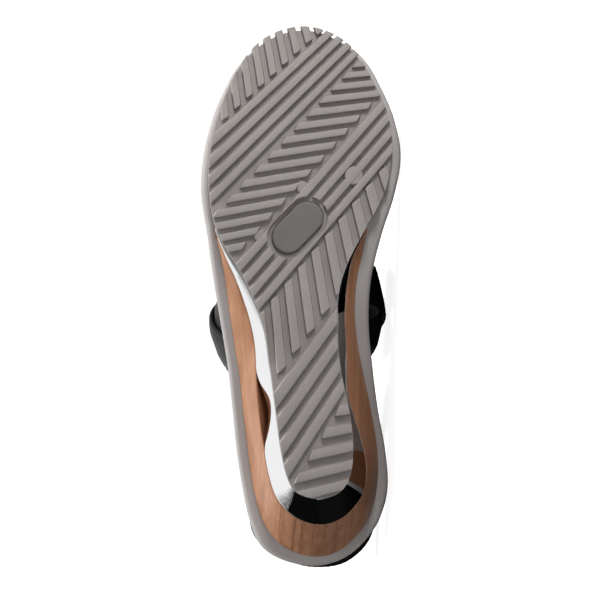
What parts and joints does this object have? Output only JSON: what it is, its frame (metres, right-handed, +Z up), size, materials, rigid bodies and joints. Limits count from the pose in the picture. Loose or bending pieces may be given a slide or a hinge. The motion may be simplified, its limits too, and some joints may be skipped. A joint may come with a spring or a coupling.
{
  "type": "heeled sandal",
  "caption": "Right wedge sandal lying on its side: ribbed rubber tread, mirror-plated and wooden wedge, wide platform rim, crossed instep straps and an elasticated heel strap.",
  "frame": {"origin": "middle of the footprint on the floor, with the sandal lying on its medial side", "axes": "+X to the toe, -Y out of the tread, +Z up to the lateral side"},
  "size_m": [0.252, 0.11, 0.0901],
  "materials": {
    "tread": "matte grey moulded rubber",
    "inlay": "smooth dark grey rubber",
    "plating": "mirror chrome plating on moulded plastic",
    "beech": "satin varnished beech",
    "platform": "smooth matte light grey foam",
    "footbed": "matte lining leather",
    "strap_leather": "smooth black leather",
    "strap_elastic": "black woven elastic"
  },
  "bodies": {
    "root": {"outsole": "tread", "sole_inlay": "inlay", "plated_wedge": "plating", "wood_wedge": "beech", "platform": "platform", "insole": "footbed", "cross_straps": "strap_leather", "heel_strap": "strap_leather", "elastic_gore": "strap_elastic", "heel_strap_tab": "strap_leather"}
  },
  "joints": []
}
